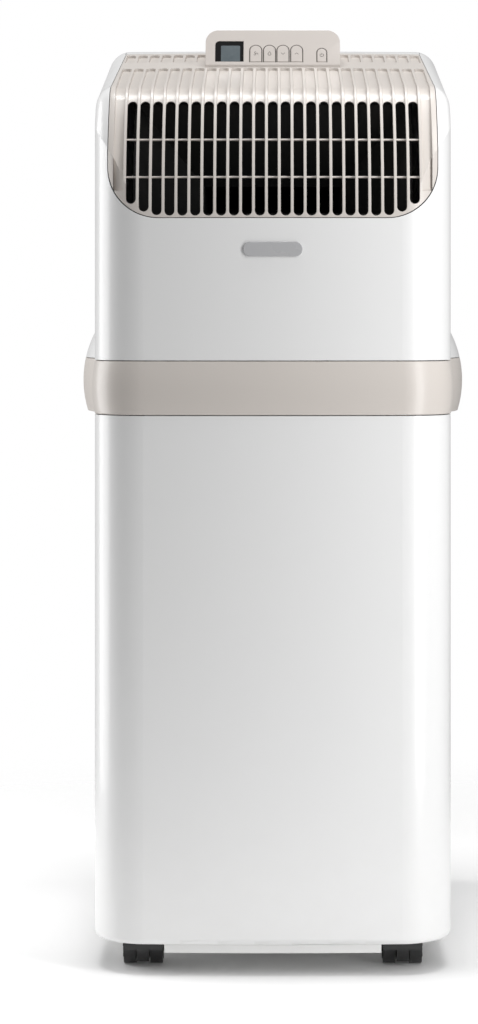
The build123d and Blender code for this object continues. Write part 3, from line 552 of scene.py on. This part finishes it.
# ---------------------------------------------------------------- intake grilles
# Two pull-off intake grilles in the grille's beige ABS: a frame, two uprights and a row of slats
# tilted so that rain and fingers stay out. The upper one carries the air filter behind it.
SLAT_COUNT, FRAME_BAR, SLAT_TILT = 18, 0.006, 28.0
for name in ("lower_intake_grille", "upper_intake_grille"):
    low, high = (Vector(corner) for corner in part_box(name))
    width, height, middle = high.x - low.x, high.z - low.z, (low + high) / 2
    louvred = Recipe(f"{name}_slats", {
        "Width": width, "Height": height, "Slat count": SLAT_COUNT, "Frame bar": FRAME_BAR,
        "Slat depth": 0.0056, "Slat thickness": 0.0016, "Upright spacing": 0.060,
        "Upright width": 0.002, "Upright depth": 0.0044, "Bar edge radius": 0.0009,
        "Slat edge radius": 0.0007,
    })
    bar = louvred.size("Frame bar")
    sides = {0: louvred.size("Width") - bar, 1: louvred.size("Height") - bar}
    path = louvred.node("GeometryNodeCurvePrimitiveQuadrilateral", {}, sides)
    section = louvred.node("GeometryNodeCurvePrimitiveQuadrilateral", {}, {0: bar, 1: bar})
    rounding = {0: section, "Count": 3, "Radius": louvred.size("Bar edge radius")}
    section = louvred.node("GeometryNodeFilletCurve", {"mode": "POLY"}, rounding)
    rim = louvred.node("GeometryNodeCurveToMesh", {}, {"Curve": path, "Profile Curve": section})
    rim = louvred.moved(rim, (0, 0, 0), (math.pi / 2, 0, 0))
    slat_section = louvred.node(
        "GeometryNodeCurvePrimitiveQuadrilateral", {},
        {0: louvred.size("Slat thickness"), 1: louvred.size("Slat depth")},
    )
    rounding = {0: slat_section, "Count": 3, "Radius": louvred.size("Slat edge radius")}
    slat_section = louvred.node("GeometryNodeFilletCurve", {"mode": "POLY"}, rounding)
    reach = louvred.size("Width") / 2 - bar * 0.6
    ends = {"Start": louvred.vector(0 - reach), "End": louvred.vector(reach)}
    run = louvred.node("GeometryNodeCurvePrimitiveLine", {}, ends)
    slat = louvred.node(
        "GeometryNodeCurveToMesh", {}, {"Curve": run, "Profile Curve": slat_section, "Fill Caps": True}
    )
    pitch = (louvred.size("Height") - bar * 2) / (louvred.size("Slat count") + 1)
    row = louvred.node("GeometryNodeMeshLine", {}, {
        "Count": louvred.size("Slat count"),
        "Start Location": louvred.vector(0.0, 0.0, bar + pitch - louvred.size("Height") / 2),
        "Offset": louvred.vector(0.0, 0.0, pitch),
    })
    slats = louvred.instances(row, slat, (math.radians(SLAT_TILT), 0, 0))
    post = louvred.cuboid(
        louvred.size("Upright width"), louvred.size("Upright depth"), louvred.size("Height") - bar * 1.6
    )
    posts = louvred.joined([
        louvred.moved(post, louvred.vector(louvred.size("Upright spacing") * 0.5 * side)) for side in (-1, 1)
    ])
    whole = louvred.moved(louvred.joined([rim, slats, posts]), tuple(middle))
    whole = louvred.node("GeometryNodeSetShadeSmooth", {}, {0: whole, "Shade Smooth": False})
    piece = louvred.make(f"{name}_louvres", whole, beige, body_of[name], slot_of[name])
    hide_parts(name)

# ---------------------------------------------------------------- heat exchangers
# Thin aluminium fins pressed on copper tubes. The fins' edges stand just clear of the block on the
# side that faces the intakes.
fins = metal("fin_aluminium", (0.75, 0.76, 0.78), 0.32, (12.0, 1.0, 0.2))
FIN_COUNT, FIN_PROUD, FIN_THICKNESS = 96, 0.0007, 0.0004
FIN_MARGIN, BLOCK_SETBACK = 0.001, 0.001
for name in ("evaporator_coil", "condenser_coil"):
    finish(nodes[name], fins)
    low, high = (Vector(corner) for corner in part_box(name))
    stack = Recipe(f"{name}_fins", {
        "Stack width": 0.186, "Fin height": high.z - low.z - 2 * FIN_MARGIN, "Fin count": FIN_COUNT,
        "Fin thickness": FIN_THICKNESS, "Fin stands": FIN_PROUD * 2,
    })
    fin = stack.cuboid(stack.size("Fin thickness"), stack.size("Fin stands"), stack.size("Fin height"))
    step = stack.size("Stack width") / (stack.size("Fin count") - 1)
    row = stack.node("GeometryNodeMeshLine", {}, {
        "Count": stack.size("Fin count"), "Start Location": stack.vector(stack.size("Stack width") * -0.5),
        "Offset": stack.vector(step),
    })
    placed = stack.moved(stack.instances(row, fin), (0, high.y - BLOCK_SETBACK, (low.z + high.z) / 2))
    stack.make(f"{name}_fins", placed, fins, body_of[name], slot_of[name])

# ---------------------------------------------------------------- castors
# Twin-wheel furniture castors: black nylon wheels on a steel axle under a glossy black hood, the
# stem pushed up into the tray. Eight ribs stiffen each wheel's outer face.
castor_black = moulded_plastic("castor_black", (0.020, 0.020, 0.021), (0.028, 0.028, 0.028), 0.34, 0.6)
RIB_COUNT = 8
for end in ("front", "rear"):
    for side in ("left", "right"):
        castor = f"{end}_{side}_castor"
        wheels = f"{castor}_wheels"
        finish(nodes[f"{castor}_hood"], castor_black)
        finish(nodes[wheels], castor_black)
        low, high = (Vector(corner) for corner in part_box(wheels))
        axle = (low + high) / 2
        spoked = Recipe(f"{castor}_ribs", {
            "Rib count": RIB_COUNT, "Rib length": 0.0085, "Rib thickness": 0.0013, "Hub radius": 0.0045,
            "Rib stands": 0.0011, "Face spacing": high.x - low.x,
        })
        rib = spoked.cuboid(spoked.size("Rib stands"), spoked.size("Rib thickness"), spoked.size("Rib length"))
        out = spoked.size("Hub radius") + spoked.size("Rib length") / 2
        rib = spoked.moved(rib, spoked.vector(0.0, 0.0, out))
        at_hub = {"Count": spoked.size("Rib count"), "Offset": (0, 0, 0)}
        ring_of_points = spoked.node("GeometryNodeMeshLine", {}, at_hub)
        index = spoked.node("GeometryNodeInputIndex", {}, {})
        turn = spoked.vector(index * math.tau / spoked.size("Rib count"), 0.0, 0.0)
        face = spoked.instances(ring_of_points, rib, turn)
        faces = spoked.joined([
            spoked.moved(face, spoked.vector(spoked.size("Face spacing") * 0.5 * way)) for way in (-1, 1)
        ])
        placed = spoked.moved(faces, tuple(axle))
        spoked.make(f"{castor}_ribs", placed, castor_black, body_of[wheels], slot_of[wheels])

# ---------------------------------------------------------------- inner parts and rear fittings
# Ducts, housings and fans are black polypropylene; motors and the electrical box are plated steel;
# the compressor and its bottle are enamelled. The exhaust collar and gland push in from behind.
black = moulded_plastic("black_plastic", (0.018, 0.018, 0.019), (0.028, 0.028, 0.028), 0.42, 0.8)
duct = moulded_plastic("duct_black", (0.006, 0.006, 0.006), (0.010, 0.010, 0.010), 0.7, 0.6)
rubber = moulded_plastic("soft_rubber", (0.02, 0.02, 0.02), (0.035, 0.034, 0.033), 0.68, 0.9)
copper = metal("copper_tube", (0.80, 0.42, 0.27), 0.25, (1.0, 1.0, 5.0))
enamel = moulded_plastic("enamelled_steel", (0.02, 0.02, 0.02), (0.03, 0.03, 0.03), 0.3, 0.3, 0.4)
board_green = moulded_plastic("board_green", (0.02, 0.12, 0.05), (0.03, 0.15, 0.06), 0.4, 0.3)
INNER = {
    black: ["filter_frame", "exhaust_duct", "display_module"],
    duct: [
        "outlet_duct", "partition_shelf", "evaporator_fan_housing", "condenser_fan_housing",
        "evaporator_fan_wheel", "condenser_fan_wheel",
    ],
    rubber: ["compressor_feet"],
    zinc: ["evaporator_fan_motor", "condenser_fan_motor", "electrical_box"],
    fins: ["run_capacitor"],
    enamel: ["compressor", "accumulator"],
    copper: ["refrigerant_tubes"],
    board_green: ["control_board"],
}
for material, names in INNER.items():
    for name in names:
        finish(nodes[name], material)
FITTING_EDGE_R = 0.0006
for name, material in (("exhaust_collar", black), ("cable_gland", black), ("drain_cap", rubber)):
    softened(f"{name}_fitting", name, FITTING_EDGE_R, material)

# ---------------------------------------------------------------- air filter
# Nylon gauze stretched over a clip-in frame behind the pull-off intake grille: a fine square
# weave that lets the coil show through faintly.
gauze = Surface("filter_gauze", {"Roughness": 0.8})
THREAD_SCALE = 260.0
threads = {"Vector": gauze.place, "Scale": THREAD_SCALE}
warp = gauze.node("ShaderNodeTexWave", {"bands_direction": "X"}, threads, 1)
weft = gauze.node("ShaderNodeTexWave", {"bands_direction": "Z"}, threads, 1)
weave = gauze.node("ShaderNodeMath", {"operation": "MAXIMUM"}, {0: warp, 1: weft})
gauze.set("Base Color", gauze.blend(weave, (0.03, 0.03, 0.032, 1), (0.13, 0.13, 0.14, 1)))
gauze.bump(weave, 0.5, 0.0004)
finish(nodes["filter_mesh"], gauze.material)

# ---------------------------------------------------------------- floor, light and camera
# A pale studio sweep under soft light: a wide panel overhead, a tall strip close on the right, a
# softer one behind on the left, and a dim surround that the camera sees as white.
FLOOR_RADIUS, FLOOR_GLOW = 3.0, 0.03
FADE_FROM, FADE_TO = 0.34, 0.85
mesh = bpy.data.meshes.new("studio_floor")
floor = bpy.data.objects.new("studio_floor", mesh)
scene.collection.objects.link(floor)
disc = bmesh.new()
bmesh.ops.create_circle(disc, cap_ends=True, radius=FLOOR_RADIUS, segments=96)
disc.to_mesh(mesh)
disc.free()
sweep = Surface("studio_sweep", {
    "Roughness": 0.7, "Emission Color": (1, 1, 1, 1), "Emission Strength": FLOOR_GLOW,
})
radius = sweep.node("ShaderNodeVectorMath", {"operation": "LENGTH"}, {0: sweep.place}, 1)
fade = {"Value": radius, 1: FADE_FROM, 2: FADE_TO, 3: 1.0, 4: 0.0}
alpha = sweep.node("ShaderNodeMapRange", {"interpolation_type": "SMOOTHSTEP"}, fade)
sweep.set("Alpha", alpha)
sweep.set("Base Color", sweep.blend(sweep.noise(3.0), (0.93, 0.93, 0.93, 1), (0.915, 0.915, 0.915, 1)))
finish(floor, sweep.material)

world = bpy.data.worlds.new("studio")
scene.world = world
world.use_nodes = True
sky = Graph(world.node_tree)
background = sky.tree.nodes["Background"]
background.inputs["Color"].default_value = (1, 1, 1, 1)
SURROUND = 0.28
seen = sky.node("ShaderNodeLightPath", {}, {}, "Is Camera Ray")
sky.tree.links.new((seen * (1 - SURROUND) + SURROUND).socket, background.inputs["Strength"])


def softbox(name, place, aim, width, height, power):
    """Rectangular area light at place, turned towards aim."""
    data = bpy.data.lights.new(name, "AREA")
    data.shape = "RECTANGLE"
    data.size, data.size_y, data.energy = width, height, power
    light = bpy.data.objects.new(name, data)
    scene.collection.objects.link(light)
    direction = Vector(aim) - Vector(place)
    light.matrix_world = Matrix.Translation(place) @ direction.to_track_quat("-Z", "Y").to_matrix().to_4x4()


softbox("overhead_light", place=(0.0, -0.1, 4.2), aim=(0, -0.1, 0), width=2.4, height=1.0, power=106)
softbox(
    "strip_light", place=(0.40, -0.46, 0.60), aim=(0.06, -0.17, 0.55), width=0.14, height=1.1, power=3.0
)
softbox("rim_light", place=(-1.2, 0.25, 0.6), aim=(0, 0, 0.4), width=0.8, height=1.4, power=12.5)

CAMERA_DISTANCE, CAMERA_HEIGHT, LENS, SHIFT = 2.0, 0.490, 95.7, (-0.033, -0.197)
camera_data = bpy.data.cameras.new("camera")
camera_data.sensor_width = 36
camera_data.lens = LENS
camera_data.shift_x, camera_data.shift_y = SHIFT
camera_data.clip_start = 0.05
camera = bpy.data.objects.new("camera", camera_data)
camera.location = (0, cad_low.y - CAMERA_DISTANCE, CAMERA_HEIGHT)
camera.rotation_euler = (math.radians(90), 0, 0)
scene.collection.objects.link(camera)
scene.camera = camera
scene.view_settings.view_transform = "Standard"
